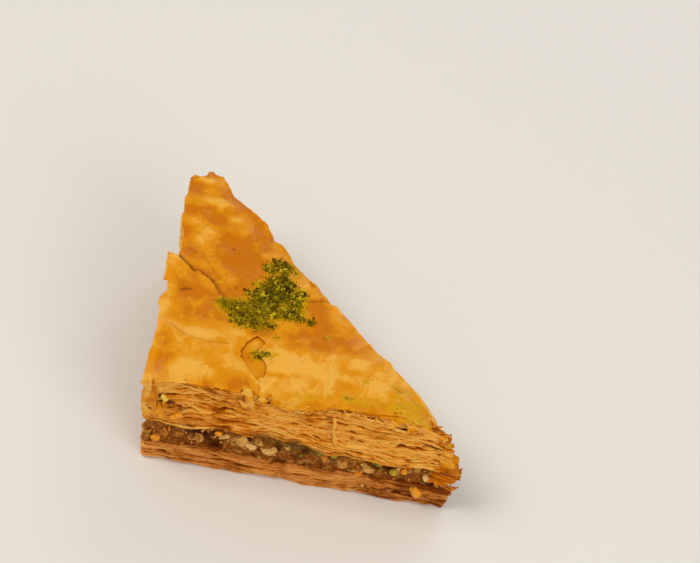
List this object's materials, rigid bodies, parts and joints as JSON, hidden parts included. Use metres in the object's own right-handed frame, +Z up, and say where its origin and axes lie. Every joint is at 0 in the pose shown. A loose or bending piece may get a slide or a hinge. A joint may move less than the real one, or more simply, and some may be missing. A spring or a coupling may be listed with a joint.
{
  "type": "baklava piece",
  "caption": "Triangular piece of layered filo pastry with a nut filling, syrup-glazed top and ground pistachio.",
  "frame": {"origin": "middle of the bounding box's base, on the surface that the piece rests on", "axes": "+X along the front cut towards the sharp right end, +Y from the front cut to the back tip, +Z up"},
  "size_m": [0.0828, 0.0712, 0.0364],
  "materials": {
    "baked_filo": "thin crisp baked leaves with a glaze of syrup",
    "soaked_filo": "browned leaves soaked with syrup",
    "chopped_nuts": "chopped nuts, moist with syrup",
    "pistachio": "dry ground pistachio"
  },
  "bodies": {
    "root": {"bottom_pastry": "soaked_filo", "nut_filling": "chopped_nuts", "top_pastry": "baked_filo"}
  },
  "joints": []
}
